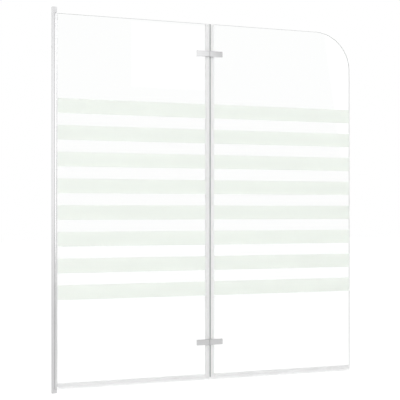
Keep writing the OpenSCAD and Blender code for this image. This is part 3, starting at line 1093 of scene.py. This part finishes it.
@dataclass
class InnerPanel(Panel):
    """The panel between the wall and the fold."""

    plug_gap_x: float = 0.3 * MM
    plug_gap_z: float = 0.5 * MM

    def pane_outline(self) -> list[Point]:
        """The pane's outline, stepped back at both ends of the tube.

        Returns:
            Its corners, in x and z.
        """
        low, high = box_of("inner_glass")
        notch = box_of("head_plug")[1].x + self.plug_gap_x
        foot_top = box_of("foot_plug")[1].z + self.plug_gap_z
        head_bottom = box_of("head_plug")[0].z - self.plug_gap_z
        return [
            (low.x, foot_top),
            (notch, foot_top),
            (notch, low.z),
            (high.x, low.z),
            (high.x, high.z),
            (notch, high.z),
            (notch, head_bottom),
            (low.x, head_bottom),
        ]


@dataclass
class OuterPanel(Panel):
    """The panel between the fold and the free edge, with the soft bulb on its seal."""

    corner_radius: float = 150 * MM
    corner_steps: int = 64
    bulb_wall: float = 0.8 * MM
    bulb_steps: int = 20

    def pane_outline(self) -> list[Point]:
        """The pane's outline, with its one round corner.

        Returns:
            Its corners, in x and z.
        """
        low, high = box_of("outer_glass")
        centre = (high.x - self.corner_radius, high.z - self.corner_radius)
        corner = arc(centre, self.corner_radius, 0, 90, self.corner_steps)
        return [(low.x, low.z), (high.x, low.z), *corner, (low.x, high.z)]

    def build(self) -> None:
        """Models the panel and its bulb."""
        super().build()
        low, high = box_of("fold_bulb")
        radius = high.y
        bore = radius - self.bulb_wall
        centre = (low.x + radius, 0.0)
        outline = [(high.x, radius), *arc(centre, radius, 90, 270, self.bulb_steps), (high.x, -radius)]
        outline += [(high.x, -bore), *arc(centre, bore, 270, 90, self.bulb_steps), (high.x, bore)]
        bulb = prism(outline, Axis.Z, low.z, high.z)
        self.add(bulb, "soft_bulb", Body.OUTER, Slot.BULB, "fold_bulb")

    def dress(self) -> None:
        """Finishes the panel and its bulb."""
        super().dress()
        self.wear("soft_bulb", self.finishes.bulb)


@dataclass
class Hinges(SubAssembly):
    """Both hinges: front and back clamp plates, knuckles, pins and clamp screws."""

    sides: tuple[tuple[str, Body], ...] = (("inner", Body.INNER), ("outer", Body.OUTER))
    chamfer: float = 0.5 * MM
    crown: float = 0.06 * MM
    crown_cuts: int = 9
    leaf_round: float = 0.12 * MM
    plate_round: float = 0.2 * MM
    screw_round: float = 0.12 * MM
    pad_round: float = 0.1 * MM
    ring_round: float = 0.08 * MM
    pin_dome: float = 0.25 * MM
    dome_steps: int = 6
    pin_steps: int = 40

    def build(self) -> None:
        """Models the plates, pins, screws, pads, sleeves and washers."""
        for level in ("upper", "lower"):
            for side, body in self.sides:
                front = f"{level}_hinge_{side}_front"
                self.add(self._leaf(front), f"{level}_{side}_leaf", body, Slot.HINGE, front)
                back = f"{level}_hinge_{side}_back"
                self.rounded(back, f"{level}_{side}_knuckle_plate", body, Slot.HINGE, self.plate_round)
            pin = f"{level}_hinge_pin"
            self.add(self._pin(pin), f"{level}_pin", Body.INNER, Slot.FASTENER, pin)
        for side, body in self.sides:
            for part, name, slot, width in (
                ("screws", "clamp_screws", Slot.FASTENER, self.screw_round),
                ("pads", "clamp_pads", Slot.PAD, self.pad_round),
                ("sleeves", "hole_sleeves", Slot.NYLON, self.ring_round),
            ):
                self.rounded(f"{side}_hinge_{part}", f"{side}_{name}", body, slot, width)
        self.rounded("hinge_washers", "knuckle_washers", Body.INNER, Slot.NYLON, self.ring_round)

    def _leaf(self, node: str) -> Mesh:
        """A front plate: a bar with a chamfered, slightly crowned face.

        Args:
            node: The CAD node that it stands for.

        Returns:
            The closed mesh.
        """
        low, high = box_of(node)
        middle, half = (low + high) / 2, (high - low) / 2
        bm = bmesh.new()
        bmesh.ops.create_cube(bm, size=2.0)
        bmesh.ops.scale(bm, vec=half, verts=bm.verts)
        rim = [edge for edge in bm.edges if all(v.co.y < 0 for v in edge.verts)]
        round_edges(bm, rim, self.chamfer, 1)
        soften(bm, self.leaf_round, sharper=25.0)
        upright = [edge for edge in bm.edges if rise(edge) > half.z]
        bmesh.ops.subdivide_edges(bm, edges=upright, cuts=self.crown_cuts, use_grid_fill=True)
        for vert in bm.verts:
            if vert.co.y < -half.y + self.crown:
                vert.co.y += self.crown * (vert.co.z / half.z) ** 2
        bmesh.ops.translate(bm, verts=bm.verts, vec=middle)
        return bm

    def _pin(self, node: str) -> Mesh:
        """A hinge pin with slightly domed ends.

        Args:
            node: The CAD node that it stands for.

        Returns:
            The closed mesh.
        """
        low, high = box_of(node)
        radius, middle = (high.x - low.x) / 2, (low + high) / 2
        dome = self.pin_dome
        ring = [(radius * c, dome * h) for c, h in arc((0.0, 0.0), 1.0, 0, 90, self.dome_steps)[:-1]]
        top = [(r, high.z - dome + h) for r, h in ring]
        bottom = [(r, low.z + dome - h) for r, h in reversed(ring)]
        bm = turned([(0.0, low.z), *bottom, *top, (0.0, high.z)], self.pin_steps)
        bmesh.ops.translate(bm, verts=bm.verts, vec=Vector((middle.x, middle.y, 0.0)))
        return bm

    def dress(self) -> None:
        """Finishes the hinges."""
        own = self.finishes
        self.wear_by_ending(
            leaf=own.leaf,
            plate=own.leaf,
            pin=own.steel,
            screws=own.steel,
            pads=own.pad,
            sleeves=own.nylon,
            washers=own.nylon,
        )


# ---- Studio ----


@dataclass(frozen=True)
class Lamp:
    """A soft rectangular lamp. One that stands behind the panes in some view is unseen through them."""

    name: str
    place: Triple
    aim: Triple
    size: Pair
    power: float
    through_glass: bool = True

    def build(self) -> None:
        """Adds the lamp to the scene."""
        data = bpy.data.lights.new(self.name, "AREA")
        data.shape = "RECTANGLE"
        data.size, data.size_y = self.size
        data.energy = self.power
        lamp = bpy.data.objects.new(self.name, data)
        lamp.location = self.place
        lamp.rotation_euler = (Vector(self.aim) - Vector(self.place)).to_track_quat("-Z", "Y").to_euler()
        lamp.visible_transmission = self.through_glass
        bpy.context.scene.collection.objects.link(lamp)
        LOG.info("set up lamp %s", self.name)


@dataclass
class Studio:
    """The camera at the photograph's angle, the pale floor and the soft light."""

    camera_place: Triple = (-0.3694818, -2.9545881, 0.6604610)
    heading: float = 17.5285  # degrees to the right of +y
    pitch: float = 0.1564  # degrees up
    lens: float = 72.742  # with the sensor's width, in millimetres
    sensor: float = 36.0
    clip: Pair = (0.05, 100.0)
    axis_row: float = 208.6213  # of the optical axis, with the picture's size, in pixels
    picture: float = 400.0
    floor_level: float = -0.55
    floor_half: float = 30.0
    floor_albedo: float = 0.74
    floor_glow: float = 0.3
    ambient: float = 0.97
    lamps: tuple[Lamp, ...] = (
        Lamp("front_soft_lamp", (-0.82, -3.05, 1.3), (-0.82, 0.0, 1.3), (2.3, 1.95), 21.5, False),
        Lamp("hinge_soft_lamp", (1.3, -3.05, 1.85), (1.3, 0.0, 1.85), (0.64, 0.5), 0.57, False),
        Lamp("side_soft_lamp", (3.4, -2.2, 2.3), (0.0, 0.0, 1.2), (2.6, 2.4), 12.0),
        Lamp("high_side_soft_lamp", (3.2, -0.3, 2.4), (0.0, 0.0, 1.3), (2.0, 1.6), 10.0),
        Lamp("middle_side_soft_lamp", (3.2, -0.3, 0.85), (0.0, 0.0, 0.7), (2.0, 1.4), 5.0),
        Lamp("back_soft_lamp", (-0.9, 3.05, 1.2), (-0.4, 0.0, 1.08), (2.0, 1.95), 1.8),
        Lamp("overhead_soft_lamp", (0.5, -0.6, 3.2), (0.5, 0.0, 0.6), (1.5, 1.5), 10.5),
    )

    def camera(self) -> None:
        """Makes the camera, with the shift that the picture's optical axis needs."""
        data = bpy.data.cameras.new("camera")
        data.sensor_width = self.sensor
        data.lens = self.lens
        data.shift_y = (self.axis_row - self.picture / 2) / self.picture
        data.clip_start, data.clip_end = self.clip
        camera = bpy.data.objects.new("camera", data)
        camera.location = self.camera_place
        camera.rotation_euler = (math.radians(90 + self.pitch), 0.0, -math.radians(self.heading))
        bpy.context.scene.collection.objects.link(camera)
        bpy.context.scene.camera = camera

    def light(self) -> None:
        """Sets the world and the lamps."""
        bpy.context.scene.view_settings.view_transform = "Standard"
        world = bpy.data.worlds.new("studio")
        world.use_nodes = True
        graph = Graph(world.node_tree)
        level = graph.spread(self._seen(graph), To_Min=self.ambient, To_Max=1.0)
        back = graph.node("ShaderNodeBackground", Color=(1.0, 1.0, 1.0, 1.0))
        output = graph.node("ShaderNodeOutputWorld")
        graph.link(level, back.inputs["Strength"])
        graph.link(back.outputs["Background"], output.inputs["Surface"])
        bpy.context.scene.world = world
        for lamp in self.lamps:
            lamp.build()

    @staticmethod
    def _seen(graph: Graph) -> Socket:
        """Tells rays that can be seen from the rest.

        Args:
            graph: The tree that asks.

        Returns:
            1 for camera, glossy and transmission rays and 0 for the others.
        """
        path = graph.node("ShaderNodeLightPath")
        value = path.outputs["Is Camera Ray"]
        for label in ("Is Glossy Ray", "Is Transmission Ray"):
            value = graph.maths("MAXIMUM", value, path.outputs[label])
        return value

    def floor(self) -> None:
        """Makes the pale floor, which keeps the object's shadow."""
        bm = bmesh.new()
        bmesh.ops.create_grid(bm, x_segments=2, y_segments=2, size=self.floor_half)
        bmesh.ops.translate(bm, verts=bm.verts, vec=(0.0, 0.0, self.floor_level))
        data = bpy.data.meshes.new("floor")
        bm.to_mesh(data)
        bm.free()
        floor = bpy.data.objects.new("floor", data)
        bpy.context.scene.collection.objects.link(floor)
        material = bpy.data.materials.new("pale_floor")
        material.use_nodes = True
        graph = Graph(material.node_tree)
        diffuse = graph.node("ShaderNodeBsdfDiffuse", Color=(*[self.floor_albedo] * 3, 1.0))
        glow = graph.node("ShaderNodeEmission")
        both = graph.node("ShaderNodeAddShader")
        output = graph.node("ShaderNodeOutputMaterial")
        graph.link(graph.maths("MULTIPLY", self._seen(graph), self.floor_glow), glow.inputs["Strength"])
        graph.link(diffuse.outputs[0], both.inputs[0])
        graph.link(glow.outputs[0], both.inputs[1])
        graph.link(both.outputs[0], output.inputs["Surface"])
        data.materials.append(material)


def main() -> None:
    """Builds the studio and the screen."""
    logging.basicConfig(level=logging.INFO, format="%(name)s: %(message)s")
    studio = Studio()
    studio.camera()
    finishes = FinishSet()
    assemblies = (
        WallFrame(finishes),
        PivotPost(finishes),
        InnerPanel(finishes, name="inner", body=Body.INNER, side=-1),
        OuterPanel(finishes, name="outer", body=Body.OUTER, side=1),
        Hinges(finishes),
    )
    for assembly in assemblies:
        assembly.build()
        assembly.dress()
    studio.floor()
    studio.light()


if __name__ == "__main__":
    main()
